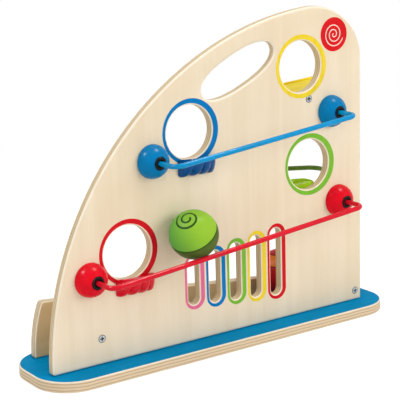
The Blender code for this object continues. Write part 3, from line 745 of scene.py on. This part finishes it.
def out_of(face, node, part):
    """Places a turned mesh with its own +Z out of a face, at the tip, middle or foot of a CAD node."""
    turn, axis, sign = {"front": (pi / 2, 1, -1), "back": (-pi / 2, 1, 1), "below": (pi, 2, -1)}[face]
    place = centre_of(node)
    place[axis] += {"tip": sign, "middle": 0, "foot": -sign}[part] * size_of(node)[axis] / 2
    return Matrix.Translation(place) @ Matrix.Rotation(turn, 4, "X")


# Boards

def panel_outline():
    """The panel from the front: right edge, rounded corner, quarter oval, straight foot."""
    foot = PANEL_LOW.z
    corner_centre = (RIGHT_X - PANEL_CORNER_RUN, TABLE_Z + PANEL_HEIGHT - PANEL_CORNER_DROP)
    arch_centre = (RIGHT_X - PANEL_ARCH_CENTRE, TABLE_Z)
    meet = acos((corner_centre[0] - arch_centre[0]) / PANEL_ARCH_RUN)
    low = pi - asin((foot - TABLE_Z) / PANEL_HEIGHT)
    arch = oval_arc(arch_centre, PANEL_ARCH_RUN, PANEL_HEIGHT, meet, low, OUTLINE_STEPS)
    rise = arch[0][1] - corner_centre[1]
    corner = oval_arc(corner_centre, PANEL_CORNER_RUN, rise, 0, pi / 2, CORNER_STEPS)
    points = [(RIGHT_X, foot)] + corner + arch[1:]
    radii = [0] * (len(points) - 1) + [PANEL_FOOT_ROUND]
    return rounded_polygon(points, radii, SLOT_END_STEPS)


def slot_ends(number):
    """Bottom and top of a slot, counted from the left."""
    bottom = TABLE_Z + SLOT_FIRST_BOTTOM - number * SLOT_BOTTOM_STEP
    top = TABLE_Z + SLOT_FIRST_TOP + number * SLOT_TOP_STEP
    return bottom, top


def make_panel():
    thickness = PANEL_HIGH.y - PANEL_LOW.y
    holes = [(handle_outline(), rounded_rims(thickness, HANDLE_EDGE_ROUND, WIDE_ROUND_STEPS))]
    soft = rounded_rims(thickness, HOLE_EDGE_ROUND)
    for colour in RING_SHIFT:
        holes.append((circle(opening_centre(colour + "_hole"), HOLE_RADIUS, HOLE_STEPS), soft))
    for number, colour in enumerate(BAND_COLOURS):
        middle = opening_centre(colour + "_slot")[0]
        holes.append((slot_outline(middle, *slot_ends(number), SLOT_WIDTH), soft))
    holes += screw_holes("front", thickness)
    rims = rounded_rims(thickness, PANEL_EDGE_ROUND, WIDE_ROUND_STEPS)
    mesh = stand(plate("panel", panel_outline(), rims, holes), (PANEL_LOW.y + PANEL_HIGH.y) / 2)
    wood = plywood("panel_plywood", "Y", PANEL_LOW.y, thickness, PANEL_PLIES, UPRIGHT_GRAIN, PANEL_PLY)
    even_normals(show("panel", mesh, wood, node="main_panel"))


def make_rings_and_bands():
    """The paint round the holes and the slots."""
    paints = {name: paint("ring_paint_" + name, colour, UPRIGHT_GRAIN) for name, colour in PAINTS.items()}
    films = []
    for colour, shift in RING_SHIFT.items():
        x, z = opening_centre(colour + "_hole")
        outer = circle((x + shift, z), RING_RADIUS, HOLE_STEPS)
        inner = circle((x, z), HOLE_RADIUS + HOLE_EDGE_ROUND, HOLE_STEPS)
        films.append(("ring_" + colour, colour, outer, inner))
    for number, colour in enumerate(BAND_COLOURS):
        x = opening_centre(colour + "_slot")[0]
        bottom, top = slot_ends(number)
        rim = HOLE_EDGE_ROUND
        outer = slot_outline(x + BAND_SHIFT, bottom - BAND_MARGIN, top + BAND_MARGIN, BAND_WIDTH)
        inner = slot_outline(x, bottom - rim, top + rim, SLOT_WIDTH + 2 * rim)
        films.append(("band_" + colour, colour, outer, inner))
    for name, colour, outer, inner in films:
        show(name, film(name, outer, inner), paints[colour])


def spiral(start, sweep, first, last):
    """Points of a flat spiral around 0 from its first radius to its last."""
    steps = round(sweep / (2 * pi) * SPIRAL_STEPS_PER_TURN)
    points = []
    for i in range(steps + 1):
        angle = start + sweep * i / steps
        radius = first + (last - first) * i / steps
        points.append((radius * cos(angle), radius * sin(angle)))
    return points


def make_disc():
    """The red disc at the top right and its spiral."""
    centre = (RIGHT_X - DISC_CENTRE[0], TABLE_Z + DISC_CENTRE[1])
    disc = film("spiral_disc", circle(centre, DISC_RADIUS, HOLE_STEPS))
    show("spiral_disc", disc, paint("disc_paint", DISC_RED, UPRIGHT_GRAIN))
    y = PANEL_LOW.y - FILM
    points = [Vector((centre[0] + x, y, centre[1] + z)) for x, z in spiral(*DISC_SPIRAL)]
    mesh = ribbon("disc_spiral", points, [Vector((0, -1, 0))] * len(points), DISC_SPIRAL_LINE, FILM / 2)
    show("disc_spiral", mesh, paint("spiral_paint", SPIRAL_WHITE, UPRIGHT_GRAIN))


def base_outline(margin):
    """The base board from above, drawn in by a margin."""
    left, right = BASE_LOW.x + margin, BASE_HIGH.x - margin
    front, back = BASE_LOW.y + margin, BASE_HIGH.y - margin
    corners = [(right, front), (right, back), (left, back), (left, front)]
    return rounded_polygon(corners, [BASE_CORNER - margin] * 4, CORNER_STEPS)


def make_base():
    thickness = BASE_HIGH.z - BASE_LOW.z
    rims = rounded_rims(thickness, BASE_EDGE_ROUND)
    mesh = plate("base", base_outline(0), rims, screw_holes("below", thickness))
    mesh.transform(Matrix.Translation((0, 0, (BASE_LOW.z + BASE_HIGH.z) / 2)))
    wood = plywood("base_plywood", "Z", BASE_LOW.z, thickness, BASE_PLIES, LEVEL_GRAIN, BASE_PLY)
    even_normals(show("base", mesh, wood, node="base_board"))
    mesh = plate("base_top_paint", base_outline(BASE_EDGE_ROUND), [(0, -FILM), (0, FILM)])
    mesh.transform(Matrix.Translation((0, 0, BASE_HIGH.z)))
    mesh.shade_flat()
    finish = paint("base_paint", BASE_BLUE, LEVEL_GRAIN, BASE_PAINT_GLOSS)
    show("base_top_paint", mesh, finish)


def wall_top(x):
    """Height of the rear wall's sloping top edge."""
    return TABLE_Z + WALL_LEFT_TOP_HEIGHT - (x - WALL_LOW.x) * tan(WALL_RUN_DROP)


def wall_end():
    """The rear wall's left end from its top corner to its foot, as points on an oval."""
    centre = (WALL_LOW.x + WALL_END_RUN, TABLE_Z)
    whole = oval_arc(centre, WALL_END_RUN, WALL_END_RISE, pi / 2, pi, 8 * WALL_END_STEPS)
    corner = next(x for x, z in whole if z < wall_top(x))
    high = pi - acos((centre[0] - corner) / WALL_END_RUN)
    low = pi - asin((WALL_LOW.z - TABLE_Z) / WALL_END_RISE)
    return oval_arc(centre, WALL_END_RUN, WALL_END_RISE, high, low, WALL_END_STEPS)


def make_rear_wall():
    end = wall_end()
    corners = [(WALL_HIGH.x, WALL_LOW.z), (WALL_HIGH.x, wall_top(WALL_HIGH.x))] + end
    # The corner's arc ends where it meets the oval, so the oval's first points give way to it.
    corners = corners[:3] + [p for p in corners[3:] if dist(p, corners[2]) > WALL_CORNER]
    radii = [0, WALL_RIGHT_CORNER, WALL_CORNER] + [0] * (len(corners) - 3)
    outline = rounded_polygon(corners, radii, CORNER_STEPS)
    thickness = WALL_HIGH.y - WALL_LOW.y
    mesh = plate("wall", outline, rounded_rims(thickness, WALL_EDGE_ROUND), screw_holes("back", thickness))
    stand(mesh, (WALL_LOW.y + WALL_HIGH.y) / 2)
    wood = plywood(
        "wall_plywood", "Y", WALL_LOW.y, thickness, PANEL_PLIES, LEVEL_GRAIN, BASE_PLY, WALL_LIGHT, WALL_DARK
    )
    even_normals(show("wall", mesh, wood, node="rear_wall"))


def make_shelf():
    rear = SHELF_FLOOR_DEPTH + SHELF_LIP_THICK
    section = [
        (SEAT_GAP, -SHELF_THICK), (rear, -SHELF_THICK), (rear, SHELF_LIP_HEIGHT),
        (SHELF_FLOOR_DEPTH, SHELF_LIP_HEIGHT), (SHELF_FLOOR_DEPTH, 0), (SEAT_GAP, 0),
    ]
    corners = [SHELF_CORNER] * 4 + [0, SHELF_CORNER]
    section = rounded_polygon(section, corners, BEND_STEPS)
    mesh = plate("shelf", section, rounded_rims(SHELF_LENGTH, SHELF_EDGE_ROUND))
    mesh.transform(Matrix.Rotation(pi / 2, 4, "Z") @ Matrix.Rotation(pi / 2 - SHELF_TILT, 4, "X"))
    low = Vector([min(v.co[i] for v in mesh.vertices) for i in range(3)])
    mesh.transform(Matrix.Translation(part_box("start_shelf")[0] - low))
    wood = solid_wood("shelf_wood", SHELF_YELLOW, SHELF_STREAK, LEVEL_GRAIN)
    even_normals(show("shelf", mesh, wood, node="start_shelf"))


# Rails, beads, bushes and lips

def rail_path(colour):
    """The wire's axis, from the low end's inner tip to the high end's."""
    face_y, out = FACES[RAIL_FACES[colour]]
    low = centre_of(colour + "_bead_low")
    high = centre_of(colour + "_bead_high")
    inner, outer = sorted((corner.y - face_y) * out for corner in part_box(colour + "_rail"))
    standoff = outer - RAIL_RADIUS
    length = (high - low).xz.length
    turn = RAIL_BEND
    run = [(0, inner), (0, 0)]
    run += oval_arc((turn, standoff - turn), turn, turn, pi, pi / 2, BEND_STEPS)
    run += oval_arc((length - turn, standoff - turn), turn, turn, pi / 2, 0, BEND_STEPS)
    run += [(length, 0), (length, inner)]
    points = []
    for along, away in run:
        place = low.lerp(high, along / length)
        points.append(Vector((place.x, face_y + out * away, place.z)))
    return points


def bead_profile():
    """Half a bead from its seat for the bush, down the dome to the foot and back up the bore."""
    top = acos((BUSH_RADIUS + SEAT_GAP) / BEAD_RADIUS)
    dome = oval_arc((0, 0), BEAD_RADIUS, BEAD_HEIGHT, top, 0, TURN_STEPS // 4)
    bore = RAIL_RADIUS + SEAT_GAP
    rim_radius, rim_height = dome[0]
    floor = rim_height - BEAD_SEAT_DEPTH
    middle = BEAD_SEAT_ROUND * BEAD_SEAT_MIDDLE
    lip = [(rim_radius, rim_height - BEAD_SEAT_ROUND), (rim_radius + middle, rim_height - middle)]
    return [(bore, floor), (rim_radius, floor)] + lip + dome[1:] + [(bore, 0)]


def bush_profile(length):
    """A bush from its foot up the bore, over the rounded mouth and rim and down the outside."""
    mouth = (BUSH_BORE + BUSH_ROUND, -BUSH_ROUND)
    throat = oval_arc(mouth, BUSH_ROUND, BUSH_ROUND, pi, pi / 2, BUSH_ROUND_STEPS)
    edge = (BUSH_RADIUS - BUSH_ROUND, -BUSH_ROUND)
    rim = oval_arc(edge, BUSH_ROUND, BUSH_ROUND, pi / 2, 0, BUSH_ROUND_STEPS)
    bore = RAIL_RADIUS + SEAT_GAP
    step = -length * BUSH_BORE_DEPTH
    return [(bore, -length), (bore, step), (BUSH_BORE, step)] + throat + rim + [(BUSH_RADIUS, -length)]


def make_rails():
    bush_plastic = plastic("bush_plastic", BUSH_BLACK, *BUSH_FINISH)
    for colour, face in RAIL_FACES.items():
        wire = lacquer(colour + "_wire_lacquer", WIRES[colour], *WIRE_FINISH)
        mesh = tube(colour + "_wire", rail_path(colour))
        show(colour + "_wire", mesh, wire, node=colour + "_rail")
        gloss = lacquer(colour + "_bead_lacquer", BEADS[colour], *BEAD_FINISH)
        for end in ("low", "high"):
            name = f"{colour}_half_bead_{end}"
            node = f"{colour}_bead_{end}"
            mesh = turned(name, bead_profile(), TURN_STEPS)
            show(name, mesh, gloss, out_of(face, node, "foot"), node=node)
            name = f"{colour}_bead_bush_{end}"
            node = f"{colour}_bush_{end}"
            mesh = turned(name, bush_profile(size_of(node).y), SMALL_TURN_STEPS)
            show(name, mesh, bush_plastic, out_of(face, node, "tip"), node=node)


def lip_section(across):
    """Section of a lip at a place across it: (distance from the panel, height), top first."""
    lobe_half = LIP_HALF_WIDTH / LIP_LOBES
    in_lobe = ((across + LIP_HALF_WIDTH) / lobe_half) % 2 - 1
    dip = LIP_GROOVE * (1 - sqrt(1 - (in_lobe * LIP_GROOVE_WIDTH) ** 2))
    oval = sqrt(max(0.0, 1 - (across / LIP_HALF_WIDTH) ** 2))
    reach = max(LIP_REACH * oval - LIP_GROOVE_REACH * dip, LIP_LEAST_REACH)
    near_end = max(0.0, (abs(across) - LIP_HALF_WIDTH + LIP_END_RUN) / LIP_END_RUN)
    rim = -LIP_END_DROP * (1 - sqrt(1 - near_end ** 2))
    dish = rim - LIP_DISH * oval
    points = [(SEAT_GAP, dish), ((reach - LIP_RIM) / 2, dish), (reach - 2 * LIP_RIM, dish)]
    points += oval_arc((reach - LIP_RIM, dish), LIP_RIM, rim - dish, pi, pi / 2, LIP_RIM_STEPS)
    half_x, half_z = reach - SEAT_GAP, dip - LIP_HEIGHT - rim
    points += oval_arc((SEAT_GAP, rim), half_x, half_z, LIP_FRONT_START, pi / 2, LIP_ARC_STEPS)
    return points


def make_lips():
    count = LIP_LOBES * LOBE_STEPS
    edge = LIP_HALF_WIDTH * LIP_END_SHARE
    for colour, face in RAIL_FACES.items():
        low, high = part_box(colour + "_lip")
        face_y, out = FACES[face]
        places = [-edge + 2 * edge * i / count for i in range(count + 1)]
        rings = [[(across, -away, up) for away, up in lip_section(across)] for across in places]
        name = colour + "_moulded_lip"
        mesh = loft(name, rings, LIP_SHARP_FROM)
        turn = Matrix.Rotation(0 if out < 0 else pi, 4, "Z")
        place = Matrix.Translation(((low.x + high.x) / 2, face_y, high.z)) @ turn
        finish = plastic(colour + "_lip_plastic", LIPS[colour], *LIP_FINISH)
        show(name, mesh, finish, place, node=colour + "_lip")


# Screws and dowels

def screw_mesh(name, length):
    """A countersunk screw along its own Z with its head's face at height 0 and a cross recess."""
    profile = [
        (0, 0), (SCREW_HEAD_RADIUS - SCREW_EDGE, 0), (SCREW_HEAD_RADIUS, -SCREW_EDGE),
        (SCREW_SHANK_RADIUS, -SCREW_HEAD_DEPTH), (SCREW_SHANK_RADIUS, -length + SCREW_POINT), (0, -length),
    ]
    source = add_object(name, turned(name, profile, SMALL_TURN_STEPS, closed=False))
    work = bmesh.new()
    for size in ((CROSS_LENGTH, CROSS_WIDTH), (CROSS_WIDTH, CROSS_LENGTH)):
        box = bmesh.ops.create_cube(work, size=1.0)["verts"]
        bmesh.ops.scale(work, vec=(*size, 2 * CROSS_DEPTH), verts=box)
        for vert in box:
            if vert.co.z < 0:
                vert.co.x *= CROSS_TAPER
                vert.co.y *= CROSS_TAPER
    cross = add_object(name + "_cross", to_mesh(name + "_cross", work))
    modifier = source.modifiers.new("cross", "BOOLEAN")
    modifier.operation = "DIFFERENCE"
    modifier.solver = "EXACT"
    modifier.use_self = True
    modifier.object = cross
    bpy.context.view_layer.update()
    mesh = bpy.data.meshes.new_from_object(source.evaluated_get(bpy.context.evaluated_depsgraph_get()))
    bpy.data.objects.remove(source, do_unlink=True)
    bpy.data.objects.remove(cross, do_unlink=True)
    mesh.materials.clear()
    mesh.name = name
    return smooth(mesh)


def make_screws():
    steel = plated_steel("zinc_steel")
    for side, nodes in SCREWS.items():
        for node in nodes:
            size = size_of(node)
            name = node + "_fine"
            mesh = screw_mesh(name, size.z if side == "below" else size.y)
            show(name, mesh, steel, out_of(side, node, "tip"), node=node)


def make_spacers():
    wood = solid_wood("dowel_grain", DOWEL_LIGHT, DOWEL_DARK, UPRIGHT_GRAIN)
    bore = SCREW_SHANK_RADIUS + SEAT_GAP
    for side in ("left", "right"):
        node = "spacer_" + side
        radius, half = (size_of(node) / 2).xy
        end = [(bore, half), (radius - DOWEL_CHAMFER, half), (radius, half - DOWEL_CHAMFER)]
        profile = end + [(away, -height) for away, height in reversed(end)]
        mesh = turned("dowel_" + side, profile, SMALL_TURN_STEPS)
        show("dowel_" + side, mesh, wood, out_of("front", node, "middle"), node=node)


# Balls

def ball_profile(radius, bounds):
    """A sphere from pole to pole with a fine groove at each bound, and the part that each step is in.

    bounds are heights above the middle as shares of the radius, from the top down. Part 0 is the
    topmost, and the grooves have the number after the last part's, whose darker colour is painted shade in
    them.
    """
    cuts = [asin(b) for b in bounds]
    starts = [pi / 2] + [c - BALL_GROOVE_ANGLE for c in cuts]
    ends = [c + BALL_GROOVE_ANGLE for c in cuts] + [-pi / 2]
    profile = []
    parts = []
    for number, (start, end) in enumerate(zip(starts, ends)):
        steps = max(2, round(BALL_RINGS * (start - end) / pi))
        profile += oval_arc((0, 0), radius, radius, start, end, steps)
        parts += [number] * steps
        if number < len(cuts):
            floor = radius - BALL_GROOVE_DEPTH
            profile.append((floor * cos(cuts[number]), floor * sin(cuts[number])))
            parts += [len(cuts) + 1] * 2
    return profile, parts


def make_ball(name, body, pole, bounds, materials):
    profile, parts = ball_profile(size_of(body).x / 2, bounds)
    mesh = turned(name, profile, 2 * BALL_RINGS, closed=False, materials=parts)
    mesh.transform(Vector((0, 0, 1)).rotation_difference(pole).to_matrix().to_4x4())
    show(name, mesh, materials, Matrix.Translation(centre_of(body)), body=body, node=body)


def seen_along(seen):
    """A direction given as seen in the photograph: to the right, up and towards its camera."""
    return (CAMERA_TURN @ Vector(seen)).normalized()


def make_green_ball():
    # Painted light: a lit, yellower colour on the side of the ball that the light falls on
    lit_side = tuple(seen_along(BALL_LIT_SIDE_SEEN))
    light = lacquer("ball_light_green", BALL_LEAF_GREEN, *GREEN_BALL_FINISH, BALL_LIT_LIME, lit_side)
    dark = lacquer("ball_dark_green", BALL_DARK_GREEN, *GREEN_BALL_FINISH)
    line = paint("ball_green_line", BALL_LINE_GREEN, NO_GRAIN)
    pole = seen_along(GREEN_POLE_SEEN)
    # The spiral's line colour also fills the seam's groove, as painted shade there
    make_ball("green_ball_turned", "green_ball", pole, [GREEN_HALF_HEIGHT], [light, dark, line])
    radius = size_of("green_ball").x / 2
    middle = seen_along(GREEN_SPIRAL_SEEN)
    right = CAMERA_TURN.col[0]
    across = (right - middle * right.dot(middle)).normalized()
    upward = middle.cross(across)
    normals = []
    for x, y in spiral(*GREEN_SPIRAL):
        normals.append(x * across + y * upward + sqrt(1 - x ** 2 - y ** 2) * middle)
    points = [centre_of("green_ball") + normal * radius for normal in normals]
    mesh = ribbon("green_ball_spiral", points, normals, GREEN_SPIRAL_LINE, FILM)
    show("green_ball_spiral", mesh, line, body="green_ball")


def make_red_ball():
    red = lacquer("ball_red", BALL_RED, *RED_BALL_FINISH)
    orange = lacquer("ball_orange", BALL_ORANGE, *RED_BALL_FINISH)
    line = paint("ball_red_groove_shade", BALL_GROOVE_SHADE_RED, NO_GRAIN)
    bounds = [RED_BAND_HIGH, RED_BAND_LOW]
    make_ball("red_ball_turned", "red_ball", Vector((0, 0, 1)), bounds, [red, orange, red, line])


# Studio

FLOOR_SIZE = 6.0
FLOOR_ALBEDO = 0.80
FLOOR_GLOW = 0.74              # what the camera sees of the floor besides its lit colour
FLOOR_SHOWN = 0.42
FLOOR_FADE = (0.45, 1.1)       # from the middle, where it turns into the white backdrop
WORLD_STRENGTH = 0.45
WORLD_COLOUR = (1.0, 0.96, 0.90, 1.0)
LIGHTS = {  # place, size, power and whether a lamp only shows as a reflection
    "key": ((1.2, -2.0, 1.0), 1.5, 26.0, False),
    "fill": ((-1.8, -1.0, 0.7), 1.6, 9.5, False),
    "back": ((0.3, 1.8, 1.2), 1.5, 10.0, False),
    "top": ((-0.2, -0.2, 1.9), 1.3, 12.0, False),
    "glint_left": ((-1.02, 0.25, 1.28), 0.3, 24.0, True),
    "glint_top": ((0.50, -0.25, 1.50), 0.3, 20.0, True),
}


def seen_directly(tree):
    """1 for rays from the camera, a mirror or through glass, and 0 for light."""
    path = add_node(tree, "ShaderNodeLightPath").outputs
    value = path["Is Camera Ray"]
    for name in ("Is Glossy Ray", "Is Transmission Ray"):
        value = add_node(tree, "ShaderNodeMath", {0: value, 1: path[name]}, operation="MAXIMUM").outputs[0]
    return value


def mixed(tree, share, first, second):
    """A shader that goes from the first to the second as the share goes from 0 to 1."""
    return add_node(tree, "ShaderNodeMixShader", {0: share, 1: first, 2: second}).outputs[0]


def make_world():
    """Even light from all around, which shows as plain white."""
    world = bpy.data.worlds.new("studio")
    bpy.context.scene.world = world
    world.use_nodes = True
    tree = world.node_tree
    light = tree.nodes["Background"]
    feed(tree, light, {"Color": WORLD_COLOUR, "Strength": WORLD_STRENGTH})
    white = add_node(tree, "ShaderNodeBackground", {"Color": (1, 1, 1, 1), "Strength": 1.0})
    surface = mixed(tree, seen_directly(tree), light.outputs[0], white.outputs[0])
    feed(tree, tree.nodes["World Output"], {"Surface": surface})


def make_floor():
    """A pale floor that shows white where it is lit and keeps the object's soft shadow."""
    material = bpy.data.materials.new("floor")
    material.use_nodes = True
    tree = material.node_tree
    tree.nodes.remove(tree.nodes["Principled BSDF"])

    def diffuse(level):
        return add_node(tree, "ShaderNodeBsdfDiffuse", {"Color": (level, level, level, 1)}).outputs[0]

    glow = add_node(tree, "ShaderNodeEmission", {"Strength": FLOOR_GLOW}).outputs[0]
    near = add_node(tree, "ShaderNodeAddShader", {0: diffuse(FLOOR_SHOWN), 1: glow}).outputs[0]
    place = add_node(tree, "ShaderNodeTexCoord").outputs["Object"]
    away = add_node(tree, "ShaderNodeVectorMath", {0: place}, operation="LENGTH").outputs["Value"]
    start, end = FLOOR_FADE
    fade = add_node(tree, "ShaderNodeMapRange", {0: away, 1: start, 2: end}, interpolation_type="SMOOTHSTEP")
    shown = mixed(tree, fade.outputs[0], near, add_node(tree, "ShaderNodeEmission").outputs[0])
    surface = mixed(tree, seen_directly(tree), diffuse(FLOOR_ALBEDO), shown)
    feed(tree, tree.nodes["Material Output"], {"Surface": surface})
    work = bmesh.new()
    bmesh.ops.create_grid(work, x_segments=1, y_segments=1, size=FLOOR_SIZE / 2)
    floor = add_object("floor", to_mesh("floor", work))
    floor.data.materials.append(material)


def make_lights():
    for name, (place, size, power, mirrored) in LIGHTS.items():
        data = bpy.data.lights.new(name, "AREA")
        data.shape = "DISK"
        data.size = size
        data.energy = power
        lamp = add_object(name, data)
        lamp.visible_glossy = mirrored
        lamp.visible_diffuse = not mirrored
        lamp.location = place
        lamp.rotation_euler = (CAMERA_TARGET - Vector(place)).to_track_quat("-Z", "Y").to_euler()


def make_camera():
    camera = add_object("camera", bpy.data.cameras.new("camera"))
    camera.data.sensor_width = SENSOR_WIDTH
    camera.data.lens = CAMERA_LENS
    place = CAMERA_TARGET + CAMERA_TURN.col[2] * CAMERA_DISTANCE
    camera.matrix_world = Matrix.Translation(place) @ CAMERA_TURN.to_4x4()
    bpy.context.scene.camera = camera


bpy.context.scene.view_settings.view_transform = "Standard"
make_camera()
make_world()
make_floor()
make_lights()
make_panel()
make_rings_and_bands()
make_disc()
make_base()
make_rear_wall()
make_shelf()
make_rails()
make_lips()
make_screws()
make_spacers()
make_green_ball()
make_red_ball()
